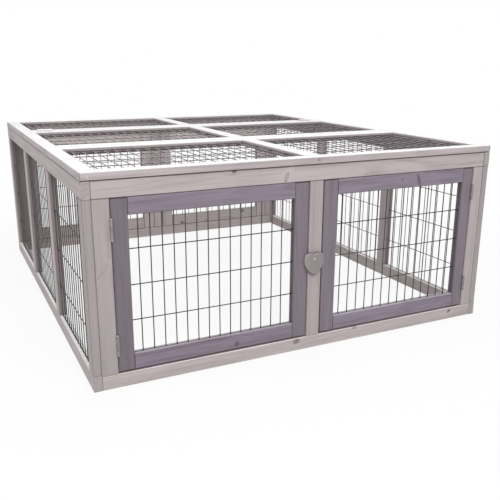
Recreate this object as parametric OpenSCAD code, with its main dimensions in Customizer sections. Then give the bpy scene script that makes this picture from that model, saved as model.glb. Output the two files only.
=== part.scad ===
// Low outdoor run for small animals: four framed mesh walls, a mesh roof whose front part
// lifts as a lid, two mesh doors in the front wall and a heart-shaped turn button.
// The front faces -Y and the run stands on Z = 0.

/* [Run] */
// Width over the side walls
cage_w = 1030; // [820:1:1300]
// Depth over the front and rear walls
cage_d = 1172; // [1080:1:1500]
// Height of the walls, without the roof
wall_h = 437.5; // [330:0.5:620]

/* [Boards] */
// Width of the planed boards
board_w = 35; // [28:0.5:42]
// Thickness of the wall boards
board_t = 18; // [15:0.5:24]
// Height of the lowest rail of the side walls and the rear wall
sill_h = 35; // [24:0.5:45]
// Chamfer along the boards' long edges
ease = 1.2; // [0.4:0.1:2.5]

/* [Side walls] */
// From each corner to the nearer inner stile
side_stile_y = 372; // [300:1:460]
// Width of the inner stiles
side_stile_w = 41; // [30:0.5:48]
// Height between the long wires of the side nets
side_row_pitch = 96; // [70:1:120]
// How far these wires lie above the middle of the net
side_row_shift = -6.5; // [-12:0.5:12]

/* [Front wall] */
// Height of the lowest rail of the front wall
front_sill_h = 31; // [24:0.5:45]
// Width of the left end stile
left_end_w = 35; // [26:0.5:42]
// Width of the right end stile
right_end_w = 31; // [26:0.5:42]
// How far the centre stile stands right of the middle
centre_shift = 5; // [-20:0.5:20]

/* [Doors] */
// Width of the left door's stile at the hinges
left_hinge_stile_w = 33; // [26:0.5:42]
// Width of the left door's free stile
left_free_stile_w = 35; // [26:0.5:42]
// Width of the right door's free stile
right_free_stile_w = 37; // [26:0.5:42]
// Width of the right door's stile at the hinges
right_hinge_stile_w = 30; // [26:0.5:42]
// Gap between a door and the stile that carries it
hinge_gap = 2.6; // [2.4:0.1:4]
// Gap between a door's free edge and the centre stile
free_gap = 2.5; // [1.5:0.1:5]
// Gap above the doors
top_gap = 1.5; // [1:0.1:4]
// Gap below the doors
bottom_gap = 4.5; // [2:0.1:8]
// How far the doors' upright wires stand right of the middle of the net
door_wire_shift = -3.5; // [-12:0.5:12]

/* [Rear wall] */
// Width of the rear wall's two end stiles
rear_end_w = 25; // [20:0.5:40]
// Width of the stiles of the rear panels
rear_stile_w = 40; // [30:0.5:45]
// Height of the lowest rail of the rear panels
rear_low_rail_h = 39.5; // [30:0.5:45]

/* [Roof] */
// Thickness of the roof that is fixed to the walls
roof_t = 16.5; // [14:0.5:22]
// Width of the boards that divide the roof and the lid
bar_w = 41; // [30:0.5:48]
// Width of the right-hand rails of the roof and the lid
roof_right_w = 27; // [22:0.5:42]
// How far the divider lies right of the middle
divider_shift = 12.5; // [-20:0.5:20]
// Share of the depth that the lid covers, from the front to its hinges
lid_share = 0.69; // [0.6:0.01:0.72]
// Height of the slit that the closed lid leaves above the walls
lid_play = 1; // [0.6:0.1:2]
// Slit between the lid and the fixed roof
lid_slit = 1; // [0.6:0.1:3]
// From the front to the seam in the lid's left rail
rail_seam_y = 184; // [120:1:260]

/* [Wire mesh] */
// Thickness of the wires
wire_d = 1.8; // [1.2:0.1:2.6]
// Distance between the closely set wires of the walls and doors
mesh_pitch = 25.2; // [20:0.1:32]
// Distance between the closely set wires of the roof
roof_mesh_pitch = 25.5; // [20:0.1:32]
// Distance between the cross wires of the doors, the rear wall and the roof
row_pitch = 76.5; // [55:0.5:100]
// Depth of the groove that holds a net's edge
groove_depth = 6; // [3:0.5:8]
// Clearance beside the net in its groove
groove_play = 0.2; // [0.1:0.05:0.4]
// Depth to which crossing wires are welded into each other
weld = 0.4; // [0.2:0.1:0.8]

/* [Hinges] */
// Outer radius of the hinge knuckles
knuckle_r = 3; // [2.6:0.1:4]
// Radius of the hinge pins
pin_r = 1.5; // [1:0.1:1.8]
// Thickness of the hinge leaves
leaf_t = 1.1; // [0.8:0.05:1.15]
// Length of the door hinges
door_hinge_l = 42; // [34:1:60]
// How far the door hinges' leaves reach into the gap
door_leaf_reach = 15; // [9:0.5:17]
// From the lower edge of a door to the middle of its lower hinge
low_hinge_rise = 60; // [35:1:100]
// From the upper edge of a door to the middle of its upper hinge
high_hinge_drop = 61; // [35:1:100]
// Length of the lid hinges
lid_hinge_l = 42; // [34:1:80]
// Width of each leaf of the lid hinges
lid_leaf_w = 25; // [14:0.5:32]
// From the run's side to the lid hinge's middle
lid_hinge_x = 67; // [50:1:200]

/* [Turn button] */
// Thickness of the button
button_t = 8; // [5:0.5:14]
// Width of the heart
heart_w = 52; // [46:0.5:60]
// Height of the heart
heart_h = 53.5; // [48:0.5:66]
// Radius of the heart's lobes
lobe_r = 16; // [14:0.1:18]
// Radius of the heart's full sides
side_r = 45; // [38:1:60]
// Radius of the heart's tip
tip_r = 9; // [6:0.1:11]
// Bevel around the front of the heart
bevel = 2; // [0.8:0.1:2]
// How far the button sits right of the centre stile's middle
button_shift = -4.5; // [-8:0.5:8]
// Height of the button's screw
button_z = 222; // [170:1:260]
// From the top of the lobes to the screw
screw_drop = 15.5; // [12:0.5:24]
// Radius of the screw's shank
screw_r = 2.2; // [1.5:0.1:3]
// Radius of the screw's head
screw_head_r = 4.4; // [3.5:0.1:6]
// Height of the screw's head
screw_head_h = 2.2; // [1.5:0.1:4]
// Depth of the screw in the stile
screw_depth = 14; // [8:0.5:14.5]

/* [Hidden] */

$fn = 48;

WOOD = [0.71, 0.68, 0.67];
PALE_WOOD = [0.88, 0.87, 0.86];
DOOR_WOOD = [0.50, 0.46, 0.51];
WIRE = [0.30, 0.29, 0.29];
ZINC = [0.72, 0.73, 0.74];
BUTTON = [0.62, 0.59, 0.59];

// Clearances that are the same everywhere
pin_play = 0.05;     // around a hinge pin
knuckle_gap = 0.4;   // between two knuckles of one hinge
plate_lap = 0.4;     // how far a knuckle's strip runs on into its leaf
hinge_stand = 0.2;   // between a knuckle and the boards behind it
button_gap = 0.8;    // between the button and the wall
head_gap = 0.3;      // between the screw's head and the button
end_play = 0.5;      // between a wire's end and the bottom of its groove
cut = 1;             // how far a cutting shape runs past what it cuts

// Walls
upper_z = wall_h - board_w;
inner_x = [board_t, cage_w - board_t];
rear_y = cage_d - board_t;
side_stiles = [0, side_stile_y, cage_d - side_stile_y - side_stile_w, cage_d - board_w];
side_stile_ws = [board_w, side_stile_w, side_stile_w, board_w];
centre_x = cage_w / 2 + centre_shift - board_w / 2;

// Nets: two layers of wire, in a groove in the middle of the boards
net_t = 2 * wire_d - weld;
groove_t = net_t + 2 * groove_play;
tuck = groove_depth - end_play;

// Doors: outlines as [left, right] and [bottom, top]
left_door_x = [inner_x[0] + left_end_w + hinge_gap, centre_x - free_gap];
right_door_x = [centre_x + board_w + free_gap, inner_x[1] - right_end_w - hinge_gap];
door_z = [front_sill_h + bottom_gap, upper_z - top_gap];
left_door_stile_w = [left_hinge_stile_w, left_free_stile_w];
right_door_stile_w = [right_free_stile_w, right_hinge_stile_w];

// Rear panels: outlines as [left, right]
rear_left_x = [inner_x[0] + rear_end_w, centre_x];
rear_right_x = [centre_x + board_w, inner_x[1] - rear_end_w];

// Roof
top_z = wall_h + roof_t;
lid_z = wall_h + lid_play;
lid_t = top_z - lid_z;
lid_d = cage_d * lid_share;
lid_mid_y = lid_d / 2;
lid_end_y = lid_d - lid_slit / 2;
roof_y = lid_d + lid_slit / 2;
lid_cross_y = [0, lid_mid_y - bar_w, lid_mid_y, lid_end_y - bar_w];
roof_cross_y = [roof_y, cage_d - bar_w];
divider_x = cage_w / 2 + divider_shift - bar_w / 2;
right_rail_x = cage_w - roof_right_w;

// Hinges
door_axis_y = -(knuckle_r + hinge_stand);
left_axis_x = left_door_x[0] - hinge_gap / 2;
right_axis_x = right_door_x[1] + hinge_gap / 2;
lid_axis_z = top_z + knuckle_r + hinge_stand;
hinge_heights = [door_z[0] + low_hinge_rise, door_z[1] - high_hinge_drop];
lid_hinge_centres = [lid_hinge_x, cage_w - lid_hinge_x];
door_knuckles = 3;
lid_knuckles = 5;
pin_head_rim = 0.9;
pin_head_r = pin_r + pin_head_rim;
pin_head_h = 1.4;

// Turn button
button_x = cage_w / 2 + centre_shift + button_shift;
screw_play = 0.08;
screw_head_top_r = 0.6 * screw_head_r;

// The origin is the middle of the outline on the ground
front_proud = button_gap + button_t + head_gap + screw_head_h;
origin_y = (cage_d - front_proud) / 2;
module place() translate([-cage_w / 2, -origin_y, 0]) children();

// The right wall and the right-hand hinges mirror the left ones
module at_right() translate([cage_w, 0, 0]) mirror([1, 0, 0]) children();

// Section of a board with its four long edges chamfered
module section(w, t) {
    polygon([
        [ease, 0], [w - ease, 0], [w, ease], [w, t - ease],
        [w - ease, t], [ease, t], [0, t - ease], [0, ease]
    ]);
}

// Boards that run along X, Y or Z: first corner and size
module board_x(corner, size) {
    translate(corner) rotate([90, 0, 90]) linear_extrude(size[0]) section(size[1], size[2]);
}
module board_y(corner, size) {
    translate(corner + [0, size[1], 0]) rotate([90, 0, 0])
        linear_extrude(size[1]) section(size[0], size[2]);
}
module board_z(corner, size) {
    translate(corner) linear_extrude(size[2]) section(size[0], size[1]);
}

// Middles of the wires that divide a span evenly, shifted from its centre
function wire_places(span, pitch, shift) =
    let (count = max(1, round(span / pitch) - 1))
    [for (i = [0 : count - 1]) span / 2 + shift + (i - (count - 1) / 2) * pitch];

// Welded net for an opening of w by h, upright in the XZ plane and centred on Y = 0.
// Its wires run on into the grooves around the opening. pitch and shift are those of the
// upright wires and of the rows.
module net(w, h, pitch, shift) {
    for (x = wire_places(w, pitch[0], shift[0]))
        translate([x - wire_d / 2, -net_t / 2, -tuck]) cube([wire_d, wire_d, h + 2 * tuck]);
    for (z = wire_places(h, pitch[1], shift[1]))
        translate([-tuck, net_t / 2 - wire_d, z - wire_d / 2]) cube([w + 2 * tuck, wire_d, wire_d]);
}

// Space that the grooves around such an opening take
module groove(w, h) {
    translate([-groove_depth, -groove_t / 2, -groove_depth])
        cube([w + 2 * groove_depth, groove_t, h + 2 * groove_depth]);
}

// Moves an upright net or groove into a wall: front walls stay, side walls turn to run
// along Y, and roofs lie down
module in_front(x, y, z) translate([x, y, z]) children();
module in_side(x, y, z) translate([x, y, z]) rotate([0, 0, 90]) children();
module in_roof(x, y, z) translate([x, y, z]) rotate([-90, 0, 0]) children();

// Side walls
function bay_y(i) = side_stiles[i] + side_stile_ws[i];
function bay_width(i) = side_stiles[i + 1] - bay_y(i);
module side_grooves() {
    for (i = [0 : len(side_stiles) - 2])
        in_side(board_t / 2, bay_y(i), sill_h) groove(bay_width(i), upper_z - sill_h);
}
module side_top_rail() {
    difference() {
        board_y([0, 0, upper_z], [board_t, cage_d, board_w]);
        side_grooves();
    }
}
module side_bottom_rail() {
    difference() {
        board_y([0, 0, 0], [board_t, cage_d, sill_h]);
        side_grooves();
    }
}
module side_uprights() {
    difference() {
        for (i = [0 : len(side_stiles) - 1])
            board_z([0, side_stiles[i], sill_h], [board_t, side_stile_ws[i], upper_z - sill_h]);
        side_grooves();
    }
}
module side_nets() {
    for (i = [0 : len(side_stiles) - 2])
        in_side(board_t / 2, bay_y(i), sill_h)
            net(bay_width(i), upper_z - sill_h, [mesh_pitch, side_row_pitch], [0, side_row_shift]);
}

module left_top_rail() color(WOOD) place() side_top_rail();
module left_bottom_rail() color(WOOD) place() side_bottom_rail();
module left_stiles() color(WOOD) place() side_uprights();
module left_nets() color(WIRE) place() side_nets();
module right_top_rail() color(WOOD) place() at_right() side_top_rail();
module right_bottom_rail() color(WOOD) place() at_right() side_bottom_rail();
module right_stiles() color(WOOD) place() at_right() side_uprights();
module right_nets() color(WIRE) place() at_right() side_nets();

// Front wall, between the side walls
inner_w = inner_x[1] - inner_x[0];
module front_top_rail() {
    color(WOOD) place() board_x([inner_x[0], 0, upper_z], [inner_w, board_t, board_w]);
}
module front_bottom_rail() {
    color(WOOD) place() board_x([inner_x[0], 0, 0], [inner_w, board_t, front_sill_h]);
}
module front_upright(x, w) {
    board_z([x, 0, front_sill_h], [w, board_t, upper_z - front_sill_h]);
}
module front_left_stile() color(WOOD) place() front_upright(inner_x[0], left_end_w);
module front_right_stile() {
    color(WOOD) place() front_upright(inner_x[1] - right_end_w, right_end_w);
}
module front_centre_stile() {
    color(WOOD) place() difference() {
        front_upright(centre_x, board_w);
        translate([button_x, 0, button_z]) screw_hole(-cut, screw_depth + screw_play);
    }
}

// Rear wall: a frame with two fixed framed panels
module rear_top_rail() {
    color(WOOD) place() board_x([inner_x[0], rear_y, upper_z], [inner_w, board_t, board_w]);
}
module rear_bottom_rail() {
    color(WOOD) place() board_x([inner_x[0], rear_y, 0], [inner_w, board_t, sill_h]);
}
module rear_upright(x, w) board_z([x, rear_y, sill_h], [w, board_t, upper_z - sill_h]);
module rear_stiles() {
    color(WOOD) place() {
        rear_upright(inner_x[0], rear_end_w);
        rear_upright(centre_x, board_w);
        rear_upright(inner_x[1] - rear_end_w, rear_end_w);
    }
}

// Framed panel: outline [left, right] and [bottom, top], the widths of its two stiles and
// the heights of its lower and upper rail
function mesh_x(x, stiles) = x[0] + stiles[0];
function mesh_w(x, stiles) = x[1] - x[0] - stiles[0] - stiles[1];
function mesh_h(z, rails) = z[1] - z[0] - rails[0] - rails[1];
module panel_groove(x, y, z, stiles, rails) {
    in_front(mesh_x(x, stiles), y + board_t / 2, z[0] + rails[0])
        groove(mesh_w(x, stiles), mesh_h(z, rails));
}
module panel_stiles(x, y, z, stiles, rails) {
    difference() {
        union() {
            board_z([x[0], y, z[0]], [stiles[0], board_t, z[1] - z[0]]);
            board_z([x[1] - stiles[1], y, z[0]], [stiles[1], board_t, z[1] - z[0]]);
        }
        panel_groove(x, y, z, stiles, rails);
    }
}
module panel_low_rail(x, y, z, stiles, rails) {
    difference() {
        board_x([mesh_x(x, stiles), y, z[0]], [mesh_w(x, stiles), board_t, rails[0]]);
        panel_groove(x, y, z, stiles, rails);
    }
}
module panel_high_rail(x, y, z, stiles, rails) {
    difference() {
        board_x([mesh_x(x, stiles), y, z[1] - rails[1]], [mesh_w(x, stiles), board_t, rails[1]]);
        panel_groove(x, y, z, stiles, rails);
    }
}
module panel_net(x, y, z, stiles, rails, shift) {
    in_front(mesh_x(x, stiles), y + board_t / 2, z[0] + rails[0])
        net(mesh_w(x, stiles), mesh_h(z, rails), [mesh_pitch, row_pitch], shift);
}

rear_z = [sill_h, upper_z];
rear_stile_ws = [rear_stile_w, rear_stile_w];
rear_rail_hs = [rear_low_rail_h, board_w];
module rear_panel_rails(x) {
    panel_low_rail(x, rear_y, rear_z, rear_stile_ws, rear_rail_hs);
    panel_high_rail(x, rear_y, rear_z, rear_stile_ws, rear_rail_hs);
}
module rear_panel_stiles(x) panel_stiles(x, rear_y, rear_z, rear_stile_ws, rear_rail_hs);
module rear_panel_net(x) panel_net(x, rear_y, rear_z, rear_stile_ws, rear_rail_hs, [0, 0]);
module rear_left_panel_rails() color(WOOD) place() rear_panel_rails(rear_left_x);
module rear_left_panel_stiles() color(WOOD) place() rear_panel_stiles(rear_left_x);
module rear_left_net() color(WIRE) place() rear_panel_net(rear_left_x);
module rear_right_panel_rails() color(WOOD) place() rear_panel_rails(rear_right_x);
module rear_right_panel_stiles() color(WOOD) place() rear_panel_stiles(rear_right_x);
module rear_right_net() color(WIRE) place() rear_panel_net(rear_right_x);

// Doors
door_rail_hs = [board_w, board_w];
module door_net(x, stiles) panel_net(x, 0, door_z, stiles, door_rail_hs, [door_wire_shift, 0]);
module left_door_stiles() {
    color(DOOR_WOOD) place() panel_stiles(left_door_x, 0, door_z, left_door_stile_w, door_rail_hs);
}
module left_door_bottom_rail() {
    color(DOOR_WOOD) place() panel_low_rail(left_door_x, 0, door_z, left_door_stile_w, door_rail_hs);
}
module left_door_top_rail() {
    color(DOOR_WOOD) place() panel_high_rail(left_door_x, 0, door_z, left_door_stile_w, door_rail_hs);
}
module left_door_net() {
    color(WIRE) place() door_net(left_door_x, left_door_stile_w);
}
module right_door_stiles() {
    color(DOOR_WOOD) place() panel_stiles(right_door_x, 0, door_z, right_door_stile_w, door_rail_hs);
}
module right_door_bottom_rail() {
    color(DOOR_WOOD) place()
        panel_low_rail(right_door_x, 0, door_z, right_door_stile_w, door_rail_hs);
}
module right_door_top_rail() {
    color(DOOR_WOOD) place()
        panel_high_rail(right_door_x, 0, door_z, right_door_stile_w, door_rail_hs);
}
module right_door_net() {
    color(WIRE) place() door_net(right_door_x, right_door_stile_w);
}

// Roof: every field is [x, y, width, depth] of a clear opening between the boards
roof_columns = [[board_w, divider_x - board_w],
    [divider_x + bar_w, right_rail_x - divider_x - bar_w]];
function fields(y0, y1) = [for (c = roof_columns) [c[0], y0, c[1], y1 - y0]];
front_fields = fields(board_w, lid_cross_y[1]);
back_fields = fields(lid_cross_y[2] + bar_w, lid_cross_y[3]);
fixed_fields = fields(roof_cross_y[0] + bar_w, roof_cross_y[1]);
module field_nets(list, z) {
    for (f = list)
        in_roof(f[0], f[1], z) net(f[2], f[3], [roof_mesh_pitch, row_pitch], [0, 0]);
}
module field_grooves(list, z) for (f = list) in_roof(f[0], f[1], z) groove(f[2], f[3]);
lid_mesh_z = lid_z + lid_t / 2;
roof_mesh_z = wall_h + roof_t / 2;

// Fixed part of the roof
module roof_cut() {
    difference() {
        children();
        field_grooves(fixed_fields, roof_mesh_z);
    }
}
module roof_cross(y) board_x([0, y, wall_h], [cage_w, bar_w, roof_t]);
module roof_along(x, w) {
    y = roof_cross_y[0] + bar_w;
    board_y([x, y, wall_h], [w, roof_cross_y[1] - y, roof_t]);
}
module roof_front_rail() color(PALE_WOOD) place() roof_cut() roof_cross(roof_cross_y[0]);
module roof_rear_rail() color(PALE_WOOD) place() roof_cut() roof_cross(roof_cross_y[1]);
module roof_divider() color(PALE_WOOD) place() roof_cut() roof_along(divider_x, bar_w);
module roof_side_rails() {
    color(PALE_WOOD) place() roof_cut() {
        roof_along(0, board_w);
        roof_along(right_rail_x, roof_right_w);
    }
}
module roof_nets() color(WIRE) place() field_nets(fixed_fields, roof_mesh_z);

// Lid: two frames, one behind the other
module lid_cut() {
    difference() {
        children();
        field_grooves(front_fields, lid_mesh_z);
        field_grooves(back_fields, lid_mesh_z);
    }
}
module lid_cross(y, w) board_x([0, y, lid_z], [cage_w, w, lid_t]);
module lid_along(x, w, y0, y1) board_y([x, y0, lid_z], [w, y1 - y0, lid_t]);
module lid_front_rail() color(PALE_WOOD) place() lid_cut() lid_cross(lid_cross_y[0], board_w);
module lid_middle_front_rail() color(PALE_WOOD) place() lid_cut() lid_cross(lid_cross_y[1], bar_w);
module lid_middle_back_rail() color(PALE_WOOD) place() lid_cut() lid_cross(lid_cross_y[2], bar_w);
module lid_rear_rail() color(PALE_WOOD) place() lid_cut() lid_cross(lid_cross_y[3], bar_w);
module lid_left_corner_rail() {
    color(PALE_WOOD) place() lid_cut() lid_along(0, board_w, board_w, rail_seam_y);
}
module lid_left_rails() {
    color(PALE_WOOD) place() lid_cut() {
        lid_along(0, board_w, rail_seam_y, lid_cross_y[1]);
        lid_along(0, board_w, lid_cross_y[2] + bar_w, lid_cross_y[3]);
    }
}
module lid_right_rails() {
    color(PALE_WOOD) place() lid_cut() {
        lid_along(right_rail_x, roof_right_w, board_w, lid_cross_y[1]);
        lid_along(right_rail_x, roof_right_w, lid_cross_y[2] + bar_w, lid_cross_y[3]);
    }
}
module lid_dividers() {
    color(PALE_WOOD) place() lid_cut() {
        lid_along(divider_x, bar_w, board_w, lid_cross_y[1]);
        lid_along(divider_x, bar_w, lid_cross_y[2] + bar_w, lid_cross_y[3]);
    }
}
module lid_front_nets() color(WIRE) place() field_nets(front_fields, lid_mesh_z);
module lid_back_nets() color(WIRE) place() field_nets(back_fields, lid_mesh_z);

// Half of a butt hinge around the Z axis: its plate reaches to reach along +X, between
// Y = face and Y = face + leaf_t, and it holds the knuckles named in own, out of count
module hinge_half(length, reach, face, own, count) {
    step = length / count;
    difference() {
        union() {
            translate([knuckle_r + knuckle_gap, face, 0])
                cube([reach - knuckle_r - knuckle_gap, leaf_t, length]);
            for (i = own) translate([0, 0, i * step + knuckle_gap / 2]) {
                cylinder(h = step - knuckle_gap, r = knuckle_r);
                translate([0, face, 0])
                    cube([knuckle_r + knuckle_gap + plate_lap, leaf_t, step - knuckle_gap]);
            }
        }
        translate([0, 0, -cut]) cylinder(h = length + 2 * cut, r = pin_r + pin_play);
    }
}
function odd_knuckles(count) = [for (i = [1 : 2 : count - 1]) i];
function even_knuckles(count) = [for (i = [0 : 2 : count - 1]) i];

// Hinge pin with a head at both ends, around the Z axis
module hinge_pin(length) {
    cylinder(h = length, r = pin_r);
    for (z = [-pin_head_h, length]) translate([0, 0, z]) cylinder(h = pin_head_h, r = pin_head_r);
}

// Places for the two hinges of a door, standing at its front edge
module door_hinges(axis_x) {
    for (z = hinge_heights)
        translate([axis_x, door_axis_y, z - door_hinge_l / 2]) rotate([0, 0, 90]) children();
}
door_reach = door_leaf_reach - door_axis_y;
module stile_leaf(side) {
    face = side * (hinge_gap / 2) - (side > 0 ? leaf_t : 0);
    hinge_half(door_hinge_l, door_reach, face, even_knuckles(door_knuckles), door_knuckles);
}
module door_leaf(side) {
    face = -side * (hinge_gap / 2) - (side > 0 ? 0 : leaf_t);
    hinge_half(door_hinge_l, door_reach, face, odd_knuckles(door_knuckles), door_knuckles);
}
module left_hinge_frame_leaves() color(ZINC) place() door_hinges(left_axis_x) stile_leaf(1);
module left_hinge_door_leaves() color(ZINC) place() door_hinges(left_axis_x) door_leaf(1);
module left_hinge_pins() color(ZINC) place() door_hinges(left_axis_x) hinge_pin(door_hinge_l);
module right_hinge_frame_leaves() color(ZINC) place() door_hinges(right_axis_x) stile_leaf(-1);
module right_hinge_door_leaves() color(ZINC) place() door_hinges(right_axis_x) door_leaf(-1);
module right_hinge_pins() color(ZINC) place() door_hinges(right_axis_x) hinge_pin(door_hinge_l);

// Lid hinges lie on the roof with their pins along X
module lid_hinges() {
    for (x = lid_hinge_centres)
        translate([x - lid_hinge_l / 2, lid_d, lid_axis_z]) rotate([90, 0, 90]) children();
}
lid_leaf_face = -knuckle_r - hinge_stand;
module lid_hinge_roof_leaves() {
    color(ZINC) place() lid_hinges()
        hinge_half(lid_hinge_l, lid_leaf_w, lid_leaf_face, even_knuckles(lid_knuckles), lid_knuckles);
}
module lid_hinge_lid_leaves() {
    color(ZINC) place() lid_hinges() mirror([1, 0, 0])
        hinge_half(lid_hinge_l, lid_leaf_w, lid_leaf_face, odd_knuckles(lid_knuckles), lid_knuckles);
}
module lid_hinge_pins() color(ZINC) place() lid_hinges() hinge_pin(lid_hinge_l);

// Turn button: a heart with its screw at the origin, flat side on Z = 0. Its outline is two
// lobes that meet in a shallow notch, two full sides and a round tip, all of them arcs that
// run into each other.
lobe_x = heart_w / 2 - lobe_r;
lobe_y = screw_drop - lobe_r;
tip_y = lobe_y + lobe_r - heart_h + tip_r;
arc_step = 7.5;
notch_angle = 180 - acos(lobe_x / lobe_r);
lobe_at = [lobe_x, lobe_y];
tip_at = [0, tip_y];
// The middle of a side's arc lies side_r - lobe_r from the lobe's and side_r - tip_r from
// the tip's
reach = norm(tip_at - lobe_at);
down = (tip_at - lobe_at) / reach;
foot = ((side_r - lobe_r) ^ 2 - (side_r - tip_r) ^ 2 + reach ^ 2) / (2 * reach);
side_at = lobe_at + foot * down + sqrt((side_r - lobe_r) ^ 2 - foot ^ 2) * [down[1], -down[0]];
side_start = atan2(lobe_at[1] - side_at[1], lobe_at[0] - side_at[0]);
side_end = atan2(tip_at[1] - side_at[1], tip_at[0] - side_at[0]);
// Points of an arc, without as many at either end as skip says
function arc(centre, r, from, to, skip) =
    let (steps = ceil(abs(to - from) / arc_step))
    [for (i = [skip : steps - skip])
        let (a = from + (to - from) * i / steps, out = [cos(a), sin(a)])
        [centre + r * out, out]];
function turned(points) = [for (i = [len(points) - 1 : -1 : 0]) points[i]];
function mirrored(points) = [for (p = points) [[-p[0][0], p[0][1]], [-p[1][0], p[1][1]]]];
right_lobe = arc(lobe_at, lobe_r, notch_angle - arc_step, side_start, 0);
right_side = arc(side_at, side_r, side_start, side_end, 1);
right_half = concat(right_lobe, right_side);
tip = arc(tip_at, tip_r, side_end, -180 - side_end, 0);
notch = [[0, lobe_y + lobe_r * sin(notch_angle)], [0, 1]];
// Every entry is a point of the outline and the direction out of the heart there
outline = turned(concat([notch], right_half, tip, turned(mirrored(right_half))));

module heart() {
    levels = [[0, 0], [0, button_t - bevel], [bevel, button_t]];
    n = len(outline);
    polyhedron(
        points = [for (level = levels) for (p = outline)
            let (at = p[0] - level[0] * p[1]) [at[0], at[1], level[1]]],
        faces = concat(
            [[for (i = [0 : n - 1]) i], [for (i = [n - 1 : -1 : 0]) 2 * n + i]],
            [for (k = [0, n]) for (i = [0 : n - 1])
                [k + i, k + n + i, k + n + (i + 1) % n, k + (i + 1) % n]]
        )
    );
}
// Hole for the screw along Y, from one depth to another
module screw_hole(y0, y1) {
    translate([0, y0, 0]) rotate([-90, 0, 0]) cylinder(h = y1 - y0, r = screw_r + screw_play);
}
module turn_button() {
    color(BUTTON) place() translate([button_x, -button_gap, button_z]) difference() {
        rotate([90, 0, 0]) heart();
        screw_hole(-button_t - cut, cut);
    }
}
module turn_button_screw() {
    head_y = button_gap + button_t + head_gap;
    color(ZINC) place() translate([button_x, -head_y, button_z]) rotate([-90, 0, 0]) {
        cylinder(h = head_y + screw_depth, r = screw_r);
        mirror([0, 0, 1]) cylinder(h = screw_head_h, r1 = screw_head_r, r2 = screw_head_top_r);
    }
}

left_top_rail();
left_bottom_rail();
left_stiles();
left_nets();
right_top_rail();
right_bottom_rail();
right_stiles();
right_nets();
front_top_rail();
front_bottom_rail();
front_left_stile();
front_centre_stile();
front_right_stile();
rear_top_rail();
rear_bottom_rail();
rear_stiles();
rear_left_panel_rails();
rear_left_panel_stiles();
rear_left_net();
rear_right_panel_rails();
rear_right_panel_stiles();
rear_right_net();
roof_side_rails();
roof_front_rail();
roof_rear_rail();
roof_divider();
roof_nets();
lid_front_rail();
lid_left_corner_rail();
lid_left_rails();
lid_right_rails();
lid_middle_front_rail();
lid_middle_back_rail();
lid_rear_rail();
lid_dividers();
lid_front_nets();
lid_back_nets();
left_door_stiles();
left_door_top_rail();
left_door_bottom_rail();
left_door_net();
right_door_stiles();
right_door_top_rail();
right_door_bottom_rail();
right_door_net();
left_hinge_frame_leaves();
left_hinge_door_leaves();
left_hinge_pins();
right_hinge_frame_leaves();
right_hinge_door_leaves();
right_hinge_pins();
lid_hinge_roof_leaves();
lid_hinge_lid_leaves();
lid_hinge_pins();
turn_button();
turn_button_screw();
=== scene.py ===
"""Looks of the low run for small animals: painted boards, round welded wire and zinc fittings."""

import math

import bmesh
import bpy
import numpy as np
from mathutils import Matrix, Vector


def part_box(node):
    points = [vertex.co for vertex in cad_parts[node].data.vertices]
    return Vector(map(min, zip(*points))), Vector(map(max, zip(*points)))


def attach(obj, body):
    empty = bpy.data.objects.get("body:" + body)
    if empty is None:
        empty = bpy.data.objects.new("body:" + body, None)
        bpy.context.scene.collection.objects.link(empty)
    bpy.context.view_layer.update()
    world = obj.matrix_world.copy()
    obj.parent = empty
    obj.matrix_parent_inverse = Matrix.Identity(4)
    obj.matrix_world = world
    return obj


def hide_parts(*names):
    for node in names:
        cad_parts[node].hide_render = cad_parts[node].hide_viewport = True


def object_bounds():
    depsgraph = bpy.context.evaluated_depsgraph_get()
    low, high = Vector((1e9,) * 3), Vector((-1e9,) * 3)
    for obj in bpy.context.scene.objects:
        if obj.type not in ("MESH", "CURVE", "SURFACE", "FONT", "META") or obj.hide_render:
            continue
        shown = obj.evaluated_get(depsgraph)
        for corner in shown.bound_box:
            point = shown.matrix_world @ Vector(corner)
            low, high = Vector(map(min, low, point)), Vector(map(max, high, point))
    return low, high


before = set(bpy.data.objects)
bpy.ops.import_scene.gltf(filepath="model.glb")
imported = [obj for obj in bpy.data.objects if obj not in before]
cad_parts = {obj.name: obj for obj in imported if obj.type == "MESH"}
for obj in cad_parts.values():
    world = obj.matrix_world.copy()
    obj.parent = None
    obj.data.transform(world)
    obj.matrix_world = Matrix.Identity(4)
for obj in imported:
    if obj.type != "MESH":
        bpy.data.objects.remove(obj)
cad_low, cad_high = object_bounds()

MM = 0.001
AXES = {"x": 0, "y": 1, "z": 2}

# The run's outline in the row frame
front_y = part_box("front_top_rail")[0].y
rear_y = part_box("left_top_rail")[1].y
roof_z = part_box("roof_front_rail")[1].z


def point(x, y, z):
    """A point measured in millimetres from the front left corner of the run, in the row frame."""
    return (cad_low.x + x * MM, front_y + y * MM, z * MM)


# Helpers for shader nodes


def feed(tree, socket, value):
    """Links a socket to an input, or sets the input's own value."""
    if isinstance(value, bpy.types.NodeSocket):
        tree.links.new(value, socket)
    else:
        socket.default_value = value


def add_node(tree, kind, settings=(), **inputs):
    """Adds a shader node. Its inputs are keywords with _ for a space."""
    made = tree.nodes.new(kind)
    for key, value in dict(settings).items():
        setattr(made, key, value)
    for key, value in inputs.items():
        feed(tree, made.inputs[key.replace("_", " ")], value)
    return made


def calc(tree, operation, *values):
    """Adds a Math node for sockets or numbers, and returns its result."""
    made = add_node(tree, "ShaderNodeMath", {"operation": operation})
    for socket, value in zip(made.inputs, values):
        feed(tree, socket, value)
    return made.outputs[0]


def vector(tree, operation, *values):
    """Adds a Vector Math node for sockets or numbers, and returns its result."""
    made = add_node(tree, "ShaderNodeVectorMath", {"operation": operation})
    sockets = [made.inputs["Vector"], made.inputs["Scale"]] if operation == "SCALE" else made.inputs
    for socket, value in zip(sockets, values):
        feed(tree, socket, value)
    return made.outputs["Value" if operation in ("LENGTH", "DOT_PRODUCT") else "Vector"]


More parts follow.
